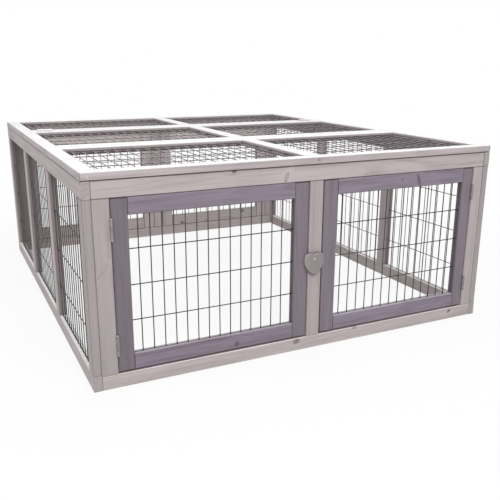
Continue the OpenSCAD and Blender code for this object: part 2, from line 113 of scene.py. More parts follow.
def split(tree, value):
    """The three parts of a vector."""
    return list(add_node(tree, "ShaderNodeSeparateXYZ", Vector=value).outputs)


def blend_colours(tree, factor, first, second, mode="MIX"):
    """Adds a colour Mix node for sockets or colours, and returns its result."""
    made = add_node(tree, "ShaderNodeMix", {"data_type": "RGBA", "blend_type": mode})
    factor_in, first_in, second_in = made.inputs[0], made.inputs[6], made.inputs[7]
    feed(tree, factor_in, factor)
    for socket, value in ((first_in, first), (second_in, second)):
        feed(tree, socket, (*value, 1.0) if isinstance(value, tuple) else value)
    return made.outputs[2]


def ramp(tree, value, start, end, low=0.0, high=1.0):
    """Smooth step from low to high while the value goes from start to end."""
    made = add_node(
        tree,
        "ShaderNodeMapRange",
        {"interpolation_type": "SMOOTHSTEP"},
        Value=value,
        From_Min=start,
        From_Max=end,
        To_Min=low,
        To_Max=high,
    )
    return made.outputs["Result"]


def both(tree, first, second):
    """The product of two masks."""
    return calc(tree, "MULTIPLY", first, second)


def within(tree, value, low, high):
    """1 where the value lies between two limits, else 0."""
    above = calc(tree, "GREATER_THAN", value, low)
    return both(tree, above, calc(tree, "LESS_THAN", value, high))


def shaded(tree, shade, mask, factor):
    """The shade, multiplied by a factor where the mask is 1."""
    return calc(tree, "MULTIPLY", shade, ramp(tree, mask, 0.0, 1.0, 1.0, factor))


def noise(tree, coords, cells, detail=2.0, roughness=0.5, output="Fac"):
    """Noise with a number of cells per metre on each axis."""
    mapped = add_node(tree, "ShaderNodeMapping", Vector=coords, Scale=cells)
    made = add_node(
        tree,
        "ShaderNodeTexNoise",
        Vector=mapped.outputs["Vector"],
        Scale=1.0,
        Detail=detail,
        Roughness=roughness,
    )
    return made.outputs[output]


def empty_material(name):
    """A material with only its shader and output."""
    material = bpy.data.materials.new(name)
    material.use_nodes = True
    tree = material.node_tree
    return material, tree, tree.nodes["Principled BSDF"]


def add_bump(tree, shader, height, strength, distance):
    """Gives the shader small bumps of a height."""
    bump = add_node(tree, "ShaderNodeBump", Height=height, Strength=strength, Distance=distance)
    feed(tree, shader.inputs["Normal"], bump.outputs["Normal"])


# Painted wood

# Paints, as they look on the boards (linear values)
WALL_PAINT = (0.434, 0.383, 0.384)
WALL_GRAIN = (0.290, 0.244, 0.247)
LID_PAINT = (0.456, 0.402, 0.411)
DOOR_RAIL_PAINT = (0.236, 0.195, 0.245)
DOOR_STILE_PAINT = (0.198, 0.166, 0.195)
DOOR_GRAIN = (0.125, 0.097, 0.118)
BUTTON_PAINT = (0.262, 0.228, 0.230)
# Painted light on the upper faces
TOP_LIGHT_WHITE = (0.900, 0.895, 0.890)
KNOT_HEART = (0.085, 0.064, 0.070)
KNOT_RIM = (0.060, 0.044, 0.048)
# Painted shade on the inner thickness faces
INNER_EDGE_SHADE = (0.085, 0.066, 0.068)

# The grain's noises: cells per metre along the board and across it
DRIFT_CELLS = (4.0, 9.0)
BLOTCH_CELLS = (7.0, 34.0)
STREAK_CELLS = (4.0, 150.0)
FIBRE_CELLS = (45.0, 900.0)
BAND_CELLS = (1.3, 15.0)
STREAK_ROUGHNESS = 0.62
SEED_SHIFT = (1.7, 2.3, 3.1)
DRIFT = 9 * MM
RINGS_PER_BAND = 70.0

# The range over which each noise turns into grain, and the paint that it takes away
STREAK_RANGE = (0.42, 0.74)
STREAK_SHARE = 0.34
RING_RANGE = (0.1, 1.0)
RING_PATCHES = (0.38, 0.62)
RING_SHARE = 0.22
FIBRE_RANGE = (0.3, 0.8)
FIBRE_SHARE = 0.08
# How much grain shows through the painted light on the upper faces
TOP_LIGHT_GRAIN_SHARE = 0.30

# Knots: distances from the middle, where the outline lies at 1
RIM_INSIDE = (0.55, 0.9)
RIM_OUTSIDE = (1.35, 1.0)
HEART_FADE = (1.5, 0.3)
PUSH_FADE = (5.0, 0.8)
PUSH_SHARE = 0.8

# Parts of a normal that tell the faces of a board apart
FLAT_FACE = (0.8, 0.95)
CHAMFER = (0.95, 0.75)
UPPER_FACE = (0.6, 0.95)
UPPER_CHAMFER = (0.3, 0.5)
LOWER_CHAMFER = (-0.15, -0.6)
NOT_UNDERSIDE = (-0.95, -0.8)

# Dark joints, dirt, random shade and painted shade. SEAM and SEAM_CORE: where a joint's dark line
# starts and where it is darkest.
# OUTLINE: how far within the limits the thickness faces carry painted shade; EDGE_DEPTH and
# FADE_DEPTHS: how deep it is, deeper lower down
SEAM = 1.7 * MM
SEAM_CORE = 0.3 * SEAM
OUTLINE = 5 * MM
EDGE_DEPTH = 0.50
FADE_START = 7 * MM
FADE_END = 12 * MM
FADE_DEPTHS = (0.15, 0.97)
END_DIRT = 0.12
BLOTCH_RANGE = (0.25, 0.75)
BLOTCH_SHADES = (0.94, 1.06)
STRIP_SHADES = (0.97, 1.03)

# The surface: gloss, and small bumps made by the streaks and the fibres
WOOD_GLOSS = 0.35
ROUGH_STREAKS = (0.3, 0.8)
WOOD_ROUGHNESS = (0.55, 0.72)
STREAK_HEIGHT = 0.7
FIBRE_HEIGHT = 0.3
WOOD_BUMP = 0.35
WOOD_BUMP_HEIGHT = 0.6 * MM


def along_axis(along, lengthwise, across):
    """Three numbers with one value along the board and another across it."""
    values = [across] * 3
    values[AXES[along]] = lengthwise
    return values


def knot_marks(tree, place, knots):
    """Masks of the knots' hearts and rims, and how far they push the grain aside.

    A knot is its X and Z on the wall, its half width and half height, all in millimetres,
    how far it leans to the right over its height, and how dark its heart and its rim are."""
    heart, rim, push = 0.0, 0.0, None
    for x, z, half_width, half_height, lean, dark, ring in knots:
        off = vector(tree, "SUBTRACT", place, point(x, 0, z))
        wide, high = 1 / (half_width * MM), 1 / (half_height * MM)
        level = vector(tree, "DOT_PRODUCT", off, (wide, 0.0, -lean * wide))
        upright = vector(tree, "DOT_PRODUCT", off, (0.0, 0.0, high))
        flat = add_node(tree, "ShaderNodeCombineXYZ", X=level, Y=upright)
        away = vector(tree, "LENGTH", flat.outputs["Vector"])
        band = both(tree, ramp(tree, away, *RIM_INSIDE), ramp(tree, away, *RIM_OUTSIDE))
        heart = calc(tree, "MAXIMUM", heart, ramp(tree, away, *HEART_FADE, 0.0, dark))
        rim = calc(tree, "MAXIMUM", rim, calc(tree, "MULTIPLY", band, ring))
        bulge = vector(tree, "SCALE", off, ramp(tree, away, *PUSH_FADE, 0.0, PUSH_SHARE))
        push = vector(tree, "ADD", push, bulge) if push else bulge
    return heart, rim, push


def grain_pattern(tree, place, seed, along, push):
    """Blotches, streaks, fibres and rings that run along the board and around its knots."""
    shifted = vector(tree, "ADD", place, tuple(seed * shift for shift in SEED_SHIFT))
    drift = noise(tree, shifted, along_axis(along, *DRIFT_CELLS), 1.0, output="Color")
    coords = vector(tree, "MULTIPLY_ADD", drift, (DRIFT, DRIFT, DRIFT), shifted)
    if push:
        coords = vector(tree, "SUBTRACT", coords, push)
    blotches = noise(tree, coords, along_axis(along, *BLOTCH_CELLS), 3.0)
    streaks = noise(tree, coords, along_axis(along, *STREAK_CELLS), 3.0, STREAK_ROUGHNESS)
    fibres = noise(tree, coords, along_axis(along, *FIBRE_CELLS), 2.0)
    bands = noise(tree, coords, along_axis(along, *BAND_CELLS), 1.0)
    waves = calc(tree, "SINE", calc(tree, "MULTIPLY", bands, RINGS_PER_BAND))
    rings = both(tree, ramp(tree, waves, *RING_RANGE), ramp(tree, blotches, *RING_PATCHES))
    return blotches, streaks, fibres, rings


def wood(
    name,
    ends,
    limits,
    seed,
    along,
    paint=WALL_PAINT,
    grain=WALL_GRAIN,
    tone=1.0,
    strength=1.0,
    groove=0.30,
    seam=0.50,
    bleach=0.0,
    edge=None,
    shade_deepens_down=False,
    under=0.0,
    crest=None,
    flank=None,
    knots=(),
    worn=None,
    step=None,
):
    """Painted softwood whose grain runs along one axis and shows through the paint.

    ends: where the board starts and ends along its grain.
    limits: the outline within which its thickness faces carry painted shade.
    seed: sets its grain apart from that of other boards.
    tone: shade of the whole board. strength: how much of the grain shows.
    groove, seam: how dark the chamfers, with painted shade and dirt, and the joints at its ends
    are; a groove below 0 gives a painted highlight.
    bleach: how much painted light whitens its upper face.
    edge: the axis that its thickness faces look along, for boards where these carry painted shade.
    shade_deepens_down: this painted shade is deeper lower down.
    under: how much painted shade darkens the faces that lean downwards.
    crest: shade of the chamfers that look up, a painted highlight above 1 and painted shade below
    1.
    flank: shade of the thickness faces outside the limits, as painted light on them.
    knots: as in knot_marks.
    worn: an axis, a limit and the shade of what lies before it.
    step: width of the strips that differ a little in shade."""
    material, tree, shader = empty_material(name)
    texture = add_node(tree, "ShaderNodeTexCoord")
    place = texture.outputs["Object"]
    at = split(tree, place)
    normal = split(tree, texture.outputs["Normal"])
    steep = [calc(tree, "ABSOLUTE", part) for part in normal]

    # Paint, with the grain and the knots showing through
    heart, rim, push = knot_marks(tree, place, knots)
    blotches, streaks, fibres, rings = grain_pattern(tree, place, seed, along, push)
    share = calc(tree, "MULTIPLY", ramp(tree, streaks, *STREAK_RANGE), STREAK_SHARE * strength)
    share = calc(tree, "MULTIPLY_ADD", rings, RING_SHARE * strength, share)
    fibre_mask = ramp(tree, fibres, *FIBRE_RANGE)
    share = calc(tree, "MULTIPLY_ADD", fibre_mask, FIBRE_SHARE * strength, share)
    colour = blend_colours(tree, share, paint, grain)
    if knots:
        colour = blend_colours(tree, heart, colour, KNOT_HEART)
        colour = blend_colours(tree, rim, colour, KNOT_RIM)

    # Painted shade on the thickness faces within the limits, and painted light that whitens the
    # upper faces
    if edge:
        axis = AXES[edge]
        facing = ramp(tree, steep[axis], *FLAT_FACE)
        inner_low, inner_high = limits[0][axis] + OUTLINE, limits[1][axis] - OUTLINE
        inside = within(tree, at[axis], inner_low, inner_high)
        depth = EDGE_DEPTH
        if shade_deepens_down:
            depth = ramp(tree, at[2], roof_z - FADE_START, roof_z - FADE_END, *FADE_DEPTHS)
        dark = calc(tree, "MULTIPLY", both(tree, inside, facing), depth)
        colour = blend_colours(tree, dark, colour, INNER_EDGE_SHADE)
    if bleach:
        top = calc(tree, "MULTIPLY", ramp(tree, normal[2], *UPPER_FACE), bleach)
        faint = calc(tree, "MULTIPLY", share, TOP_LIGHT_GRAIN_SHARE)
        colour = blend_colours(tree, top, colour, blend_colours(tree, faint, TOP_LIGHT_WHITE, paint))

    # Painted shade and dirt darken the chamfers, and where groove is below 0 a painted highlight
    # lightens them; the joints at the ends are dark and the end grain is dirtier
    flattest = calc(tree, "MAXIMUM", calc(tree, "MAXIMUM", steep[0], steep[1]), steep[2])
    chamfer = ramp(tree, flattest, *CHAMFER)
    end_face = ramp(tree, steep[AXES[along]], *FLAT_FACE)
    from_start = calc(tree, "SUBTRACT", at[AXES[along]], ends[0])
    from_end = calc(tree, "SUBTRACT", ends[1], at[AXES[along]])
    to_joint = calc(tree, "MINIMUM", from_start, from_end)
    joint = calc(tree, "SUBTRACT", ramp(tree, to_joint, SEAM, SEAM_CORE), end_face)
    joint = calc(tree, "MAXIMUM", joint, 0.0)
    low_shade, high_shade = BLOTCH_SHADES
    shade = ramp(tree, blotches, *BLOTCH_RANGE, tone * low_shade, tone * high_shade)
    for mask, dirt_and_shade in ((chamfer, groove), (end_face, END_DIRT), (joint, seam)):
        shade = shaded(tree, shade, mask, 1.0 - dirt_and_shade)

    # Where the board has them: painted highlight or painted shade on the chamfers that look up, as
    # crest is above or below 1, painted light on the outer thickness faces and painted shade on the
    # faces that lean down
    if crest:
        upper = both(tree, chamfer, ramp(tree, normal[2], *UPPER_CHAMFER))
        shade = shaded(tree, shade, upper, crest)
    if flank:
        outer = both(tree, facing, calc(tree, "SUBTRACT", 1.0, inside))
        shade = shaded(tree, shade, outer, flank)
    if under:
        leaning = both(
            tree, ramp(tree, normal[2], *LOWER_CHAMFER), ramp(tree, normal[2], *NOT_UNDERSIDE)
        )
        shade = shaded(tree, shade, leaning, 1.0 - under)
    # A darker part before a limit, which on the right top rail's inner face is painted shade
    if worn:
        worn_axis, limit, factor = worn
        before = calc(tree, "LESS_THAN", at[AXES[worn_axis]], limit)
        shade = shaded(tree, shade, before, factor)
    if step:
        strip = calc(tree, "FLOOR", calc(tree, "DIVIDE", at[AXES[edge]], step))
        dice = add_node(tree, "ShaderNodeTexWhiteNoise", {"noise_dimensions": "1D"}, W=strip)
        varied = ramp(tree, dice.outputs["Value"], 0.0, 1.0, *STRIP_SHADES)
        shade = calc(tree, "MULTIPLY", shade, varied)
    toned = add_node(tree, "ShaderNodeCombineXYZ", X=shade, Y=shade, Z=shade)
    colour = blend_colours(tree, 1.0, colour, toned.outputs["Vector"], "MULTIPLY")
    feed(tree, shader.inputs["Base Color"], colour)

    height = calc(tree, "MULTIPLY", fibres, FIBRE_HEIGHT)
    height = calc(tree, "MULTIPLY_ADD", streaks, STREAK_HEIGHT, height)
    add_bump(tree, shader, height, WOOD_BUMP, WOOD_BUMP_HEIGHT)
    rough = ramp(tree, streaks, *ROUGH_STREAKS, *WOOD_ROUGHNESS)
    feed(tree, shader.inputs["Roughness"], rough)
    shader.inputs["Specular IOR Level"].default_value = WOOD_GLOSS
    return material


def dress(material, *names):
    """Gives CAD nodes a material."""
    for name in names:
        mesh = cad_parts[name].data
        mesh.materials.clear()
        mesh.materials.append(material)


board_seeds = iter(range(1, 100))


def boards(names, along, limits=None, **look):
    """Dresses nodes in wood, each with a grain of its own."""
    for name in names.split():
        low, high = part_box(name)
        ends = (low[AXES[along]], high[AXES[along]])
        seed = float(next(board_seeds))
        dress(wood(name + "_paint", ends, limits or (low, high), seed, along, **look), name)


# Side walls. The right top rail carries painted shade on the side that looks into the run,
# and the stiles at the front are darker than the others
STILE_STRIP = 0.25
right_inner_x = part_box("right_top_rail")[0].x + 1 * MM
front_stiles_y = front_y + 60 * MM
boards("left_top_rail", "y", tone=0.97)
boards("right_top_rail", "y", tone=0.97, worn=("x", right_inner_x, 0.40))
# The bottom rails carry painted light on their upper faces and painted highlights on their upper
# chamfers
boards("left_bottom_rail", "y", bleach=1.0, crest=1.7)
boards("right_bottom_rail", "y", bleach=1.0, crest=2.5)
# Painted shade on the stiles' thickness faces
boards(
    "left_stiles right_stiles",
    "z",
    tone=1.06,
    edge="y",
    step=STILE_STRIP,
    worn=("y", front_stiles_y, 0.79),
)

# Front wall, with painted shade on the top rail's upper chamfers and a painted highlight on the
# bottom rail's
boards(
    "front_top_rail",
    "x",
    tone=1.06,
    strength=1.7,
    seam=0.75,
    crest=0.7,
    knots=[(318, 436, 5.5, 4, 0.6, 0.9, 0.0), (442, 415, 4, 9, 0.3, 0.25, 0.40)],
)
boards(
    "front_bottom_rail",
    "x",
    tone=1.12,
    strength=1.3,
    seam=0.65,
    crest=2.5,
    knots=[
        (477, 23.5, 7.5, 5, 0.3, 0.7, 0.4),
        (641, 30, 5, 4, 0.2, 0.3, 0.7),
        (942, 21.5, 5.5, 4.5, 0.7, 0.95, 0.0),
    ],
)
boards("front_left_stile", "z", tone=0.88, groove=0.2, knots=[(27, 250, 4, 10, 0.8, 0.14, 0.0)])
boards("front_centre_stile", "z", tone=0.91, strength=1.3, groove=0.2)
boards("front_right_stile", "z", strength=1.1, groove=0.2)

# Rear wall, whose panels' lower rails share a node with their upper rails and are darker
lower_rails_z = 200 * MM
rear = {"tone": 1.20, "strength": 1.5, "groove": 0.85}
upper_rear = {**rear, "tone": 1.50, "worn": ("z", lower_rails_z, 0.76)}
# Painted light on the rails' upper faces and painted shade on the stiles' thickness faces
boards("rear_top_rail", "x", bleach=0.5, **upper_rear)
boards("rear_bottom_rail", "x", bleach=0.5, **rear)
boards("rear_stiles rear_left_panel_stiles rear_right_panel_stiles", "z", edge="x", **rear)
boards("rear_left_panel_rails", "x", bleach=0.5, **upper_rear)
boards(
    "rear_right_panel_rails",
    "x",
    bleach=0.5,
    knots=[
        (617, 42, 8, 6, 0.0, 0.8, 0.1),
        (719, 38, 7, 6, 0.0, 0.4, 0.1),
        (880, 65, 9, 7, 0.0, 0.7, 0.2),
    ],
    **upper_rear,
)

# Roof and lid, with painted light on the faces that look up
run_outline = (Vector((cad_low.x, front_y, 0.0)), Vector((cad_high.x, rear_y, 0.0)))
# Painted shade on the inner thickness faces, deeper lower down, and on the faces that lean down
roof = {
    "limits": run_outline,
    "paint": LID_PAINT,
    "bleach": 1.0,
    "groove": 0.12,
    "under": 0.75,
    "shade_deepens_down": True,
}
boards(
    "roof_front_rail roof_rear_rail lid_front_rail lid_middle_front_rail lid_middle_back_rail "
    "lid_rear_rail",
    "x",
    tone=1.02,
    strength=1.5,
    edge="y",
    knots=[(523.5, 448, 3.5, 3, 0.0, 0.35, 0.25)],
    **roof,
)
boards(
    "roof_side_rails roof_divider lid_left_rails lid_right_rails lid_dividers lid_left_corner_rail",
    "y",
    tone=0.97,
    edge="x",
    **roof,
)

# Doors. The left door's outer stile is a little darker than its inner one
left_outer_x = point(200, 0, 0)[0]
# Painted shade on the stiles' thickness faces and on the faces that lean down, painted light on the
# left door's outer side faces and on the rails' upper faces and chamfers
doors = {"grain": DOOR_GRAIN, "groove": 0.15, "under": 0.7}
door_stile = {"paint": DOOR_STILE_PAINT, "edge": "x", **doors}
door_rail = {"paint": DOOR_RAIL_PAINT, "strength": 1.5, "bleach": 0.3, "crest": 1.3, **doors}
boards("left_door_stiles", "z", flank=4.2, worn=("x", left_outer_x, 0.88), **door_stile)
boards("right_door_stiles", "z", tone=1.03, **door_stile)
boards("left_door_top_rail", "x", **door_rail)
boards("left_door_bottom_rail", "x", knots=[(323, 47, 6, 6, 0.0, 0.8, 0.0)], **door_rail)
boards(
    "right_door_top_rail",
    "x",
    knots=[(758, 386, 5, 3, 0.0, 0.45, 0.0), (808, 382, 5, 17, -0.3, 0.75, 0.0)],
    **door_rail,
)
boards("right_door_bottom_rail", "x", tone=1.06, **door_rail)

# Turn button, with a painted highlight on its bevels and painted shade on the faces that lean down
boards("turn_button", "z", paint=BUTTON_PAINT, groove=-0.28, under=0.55)


# Metal

ZINC = (0.66, 0.63, 0.64)
WORN_ZINC = (0.48, 0.45, 0.46)
# A lighter copy of the zinc for the lid hinges, with painted light from above
TOP_LIT_ZINC = (0.80, 0.78, 0.78)
WORN_TOP_LIT_ZINC = (0.66, 0.64, 0.64)
DULL_ZINC = (0.300, 0.258, 0.268)
WORN_DULL_ZINC = (0.205, 0.175, 0.185)
BUTTON_ZINC = (0.44, 0.41, 0.41)
WORN_BUTTON_ZINC = (0.32, 0.29, 0.29)
WIRE = (0.050, 0.036, 0.039)
WORN_WIRE = (0.032, 0.023, 0.025)
ROOF_WIRE = (0.058, 0.044, 0.048)
WORN_ROOF_WIRE = (0.040, 0.030, 0.033)
# Painted highlight on the upper sides of the roof and lid wires
LIT_WIRE = (0.62, 0.56, 0.58)
FACING_SKY = (0.55, 0.9)
WORN_RANGE = (0.35, 0.65)
METAL_NOISE_ROUGHNESS = 0.6
ROUGH_BLOTCHES = (0.3, 0.7)
SMOOTHER = 0.07
ROUGHER = 0.1
METAL_BUMP = 0.2
METAL_BUMP_HEIGHT = 0.1 * MM


def metal(name, colour, worn, roughness, cells, metallic, lit=None):
    """Coated steel with a blotchy, slightly rough surface. lit: colour of a painted highlight on
    what faces the sky.
    """
    material, tree, shader = empty_material(name)
    texture = add_node(tree, "ShaderNodeTexCoord")
    place = texture.outputs["Object"]
    blotches = noise(tree, place, (cells, cells, cells), 3.0, METAL_NOISE_ROUGHNESS)
    mixed = blend_colours(tree, ramp(tree, blotches, *WORN_RANGE), colour, worn)
    # Painted highlight on the faces that look up
    if lit:
        up = split(tree, texture.outputs["Normal"])[2]
        mixed = blend_colours(tree, ramp(tree, up, *FACING_SKY), mixed, lit)
    feed(tree, shader.inputs["Base Color"], mixed)
    rough = ramp(tree, blotches, *ROUGH_BLOTCHES, roughness - SMOOTHER, roughness + ROUGHER)
    feed(tree, shader.inputs["Roughness"], rough)
    add_bump(tree, shader, blotches, METAL_BUMP, METAL_BUMP_HEIGHT)
    shader.inputs["Metallic"].default_value = metallic
    return material


zinc = metal("zinc_finish", ZINC, WORN_ZINC, 0.40, 180.0, 0.35)
# The lid hinges' zinc, lighter with painted light
top_lit_zinc = metal("light_zinc_finish", TOP_LIT_ZINC, WORN_TOP_LIT_ZINC, 0.45, 180.0, 0.2)
dull_zinc = metal("dull_zinc_finish", DULL_ZINC, WORN_DULL_ZINC, 0.6, 150.0, 0.15)
button_zinc = metal("button_zinc_finish", BUTTON_ZINC, WORN_BUTTON_ZINC, 0.4, 150.0, 0.3)
wire_finish = metal("wire_finish", WIRE, WORN_WIRE, 0.45, 90.0, 0.2)
lit_wire_finish = metal("lit_wire_finish", ROOF_WIRE, WORN_ROOF_WIRE, 0.45, 90.0, 0.2, lit=LIT_WIRE)
dress(
    dull_zinc,
    "left_hinge_frame_leaves",
    "left_hinge_door_leaves",
    "right_hinge_frame_leaves",
    "right_hinge_door_leaves",
)
dress(zinc, "left_hinge_pins", "right_hinge_pins")
dress(top_lit_zinc, "lid_hinge_roof_leaves", "lid_hinge_lid_leaves", "lid_hinge_pins")


# Pieces


def add_object(name, data):
    """Puts a new object in the scene."""
    made = bpy.data.objects.new(name, data)
    bpy.context.scene.collection.objects.link(made)
    return made


def finish_piece(name, bm, material, body):
    """Makes an object from a bmesh and lets it ride on a body."""
    bmesh.ops.recalc_face_normals(bm, faces=bm.faces)
    mesh = bpy.data.meshes.new(name)
    bm.to_mesh(mesh)
    bm.free()
    mesh.materials.append(material)
    made = add_object(name, mesh)
    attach(made, body)
    return made


def loop_of(bm, middle, side, up, radius, sides):
    """A ring of points around a middle."""
    turns = [2 * math.pi * i / sides for i in range(sides)]
    return [bm.verts.new(middle + radius * (math.cos(a) * side + math.sin(a) * up)) for a in turns]


def join_loops(bm, loops):
    """Joins rings of points by faces and closes both ends."""
    for low, high in zip(loops, loops[1:]):
        for i in range(len(low)):
            after = (i + 1) % len(low)
            bm.faces.new((low[i], low[after], high[after], high[i])).smooth = True
    bm.faces.new(list(reversed(loops[0])))
    bm.faces.new(loops[-1])


def tube(bm, start, end, radius, bow, sides, rings):
    """A round bar from one point to another that bows a little off the straight line."""
    side = (end - start).orthogonal().normalized()
    up = (end - start).normalized().cross(side)
    loops = []
    for k in range(rings):
        t = k / (rings - 1)
        middle = start.lerp(end, t) + bow * math.sin(math.pi * t)
        loops.append(loop_of(bm, middle, side, up, radius, sides))
    join_loops(bm, loops)


# Round wires in place of the nets' square ones. The swells make them thicker than those

WIRE_SWELL = 1.18
DOOR_WIRE_SWELL = 1.34
WIRE_BOW = 0.7 * MM
WIRE_SIDES = 8
WIRE_RINGS = 7
WIRE_SEED = 7
POINT_DECIMALS = 6
SIDE_DECIMALS = 5
SAME_PLACE = 0.02 * MM


def islands(mesh):
    """The mesh's separate solids, each as an array of its points."""
    co = np.zeros(len(mesh.vertices) * 3)
    mesh.vertices.foreach_get("co", co)
    co = co.reshape(-1, 3)
    same, where = np.unique(np.round(co, POINT_DECIMALS), axis=0, return_inverse=True)
    where = np.asarray(where).ravel()
    root = np.arange(len(same))

    def find(i):
        while root[i] != i:
            root[i] = root[root[i]]
            i = root[i]
        return i

    for polygon in mesh.polygons:
        corners = [where[v] for v in polygon.vertices]
        for other in corners[1:]:
            root[find(other)] = find(corners[0])
    groups = {}
    for i in range(len(same)):
        groups.setdefault(find(i), []).append(same[i])
    return [np.array(groups[key]) for key in sorted(groups)]


def wire_centres(points, run, across):
    """The wires that run along an axis: their middles on the axis across, and their end points."""
    ends = points[np.abs(points[:, run] - points[:, run].min()) < SAME_PLACE]
    sides = np.unique(np.round(ends[:, across], SIDE_DECIMALS))
    return [(a + b) / 2 for a, b in zip(sides[0::2], sides[1::2])], ends


def round_net(node, upright, body, finish, swell, rng):
    """Builds the node's nets from round wires. The close wires run along the upright axis."""
    bm = bmesh.new()
    for points in islands(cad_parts[node].data):
        size = points.max(axis=0) - points.min(axis=0)
        thin = int(np.argmin(size))
        wide = 3 - thin - upright
        for run, across in ((upright, wide), (wide, upright)):
            centres, ends = wire_centres(points, run, across)
            level = (ends[:, thin].min() + ends[:, thin].max()) / 2
            radius = float(ends[:, thin].max() - ends[:, thin].min()) / 2 * swell
            for centre in centres:
                start, end, bow = Vector(), Vector(), Vector()
                start[run] = points[:, run].min()
                end[run] = points[:, run].max()
                start[across] = end[across] = centre
                start[thin] = end[thin] = level
                bow[across] = rng.uniform(-1.0, 1.0) * WIRE_BOW
                tube(bm, start, end, radius, bow, WIRE_SIDES, WIRE_RINGS)
    made = finish_piece(node + "_wires", bm, finish, body)
    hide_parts(node)


wire_rng = np.random.default_rng(WIRE_SEED)
for node, upright, body, finish, swell in (
    ("left_nets", "z", "base", wire_finish, WIRE_SWELL),
    ("right_nets", "z", "base", wire_finish, WIRE_SWELL),
    ("rear_left_net", "z", "base", wire_finish, WIRE_SWELL),
    ("rear_right_net", "z", "base", wire_finish, WIRE_SWELL),
    ("roof_nets", "y", "base", lit_wire_finish, WIRE_SWELL),
    ("lid_front_nets", "y", "lid", lit_wire_finish, WIRE_SWELL),
    ("lid_back_nets", "y", "lid", lit_wire_finish, WIRE_SWELL),
    ("left_door_net", "z", "left_door", wire_finish, DOOR_WIRE_SWELL),
    ("right_door_net", "z", "right_door", wire_finish, DOOR_WIRE_SWELL),
):
    round_net(node, AXES[upright], body, finish, swell, wire_rng)


# Screws. The rings of a head and the arms of its cross are shares of its radius

HEAD_RINGS = (1.0, 0.93, 0.80, 0.64, 0.60, 0.44, 0.30, 0.16)
HEAD_SIDES = 32
ARM_HALF_WIDTH = 0.17
ARM_REACH = 0.62
SAME_FACE = 0.1 * MM


def screw_head(bm, centre, out, radius, dome, depth):
    """A domed head with a cross-shaped recess, whose flat underside lies just below a surface."""
    side = out.orthogonal().normalized()
    up = out.cross(side)
    loops = [loop_of(bm, centre - 0.5 * depth * out, side, up, radius, HEAD_SIDES)]
    for share in HEAD_RINGS:
        loop = loop_of(bm, centre, side, up, radius * share, HEAD_SIDES)
        for vert in loop:
            off = vert.co - centre
            arm = min(abs(off.dot(side)), abs(off.dot(up))) < ARM_HALF_WIDTH * radius
            sunk = depth if arm and share < ARM_REACH else 0.0
            vert.co = vert.co + out * (dome * (1.0 - share * share) - sunk)
        loops.append(loop)
    join_loops(bm, loops)


def screws(name, body, places, out, radius, dome, depth, finish):
    """A piece with one screw head at every place."""
    bm = bmesh.new()
    for place in places:
        screw_head(bm, Vector(place), Vector(out), radius, dome, depth)
    finish_piece(name, bm, finish, body)


# Cross recess screw that carries the button, with its shank
BUTTON_HEAD_HEIGHT = 2.2 * MM
BUTTON_HEAD_DEPTH = 0.9 * MM
SHANK_RADIUS = 2.2 * MM
SHANK_SIDES = 24
SHANK_RINGS = 2
screw_low, screw_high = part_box("turn_button_screw")
screw_x = (screw_low.x + screw_high.x) / 2
screw_z = (screw_low.z + screw_high.z) / 2
head_radius = (screw_high.x - screw_low.x) / 2
seat = Vector((screw_x, screw_low.y + BUTTON_HEAD_HEIGHT, screw_z))
shank_end = Vector((screw_x, screw_high.y, screw_z))
button_bm = bmesh.new()
screw_head(
    button_bm, seat, Vector((0, -1, 0)), head_radius, BUTTON_HEAD_HEIGHT, BUTTON_HEAD_DEPTH
)
tube(button_bm, seat, shank_end, SHANK_RADIUS, Vector(), SHANK_SIDES, SHANK_RINGS)
button_screw = finish_piece("button_cross_screw", button_bm, button_zinc, "base")
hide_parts("turn_button_screw")

# Screws of the lid hinges, three in each leaf
LEAF_RADIUS = 3.0 * MM
LEAF_DOME = 0.5 * MM
LEAF_DEPTH = 0.45 * MM
LEAF_INSET = 9 * MM
LEAF_PLACES = (-14 * MM, 0, 14 * MM)
for node, name, body in (
    ("lid_hinge_lid_leaves", "lid_hinge_lid_screws", "lid"),
    ("lid_hinge_roof_leaves", "lid_hinge_roof_screws", "base"),
):
    places = []
    for points in islands(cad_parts[node].data):
        low, high = points.min(axis=0), points.max(axis=0)
        free_edge, inwards = (low[1], 1) if body == "lid" else (high[1], -1)
        leaf_top = points[np.abs(points[:, 1] - free_edge) < SAME_FACE][:, 2].max()
        y = free_edge + inwards * LEAF_INSET
        middle = (low[0] + high[0]) / 2
        places += [(middle + shift, y, leaf_top) for shift in LEAF_PLACES]
    screws(name, body, places, (0, 0, 1), LEAF_RADIUS, LEAF_DOME, LEAF_DEPTH, top_lit_zinc)

# Flat screws of the door hinges, two in each leaf, which show when a door is open
FLAT_RADIUS = 2.4 * MM
FLAT_DOME = 0.12 * MM
FLAT_DEPTH = 0.5 * MM
FLAT_INSET = 5.5 * MM
FLAT_PLACES = (-12 * MM, 12 * MM)
for side, outward in (("left", 1), ("right", -1)):
    for part, facing, body in (("frame", outward, "base"), ("door", -outward, side + "_door")):
        places = []
        for points in islands(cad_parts[f"{side}_hinge_{part}_leaves"].data):
            low, high = points.min(axis=0), points.max(axis=0)
            plate = points[points[:, 1] > high[1] - SAME_FACE]
            x = plate[:, 0].max() if facing > 0 else plate[:, 0].min()
            middle = (low[2] + high[2]) / 2
            places += [(x, high[1] - FLAT_INSET, middle + shift) for shift in FLAT_PLACES]
        name = f"{side}_hinge_{part}_screws"
        screws(name, body, places, (facing, 0, 0), FLAT_RADIUS, FLAT_DOME, FLAT_DEPTH, zinc)

# Screws in the ends of the lid's front board
END_RADIUS = 2.8 * MM
END_DOME = 0.4 * MM
END_DEPTH = 0.5 * MM
places = [point(14, 0, 446.5), point(1020, 0, 446.5)]
screws("lid_front_screws", "lid", places, (0, -1, 0), END_RADIUS, END_DOME, END_DEPTH, zinc)


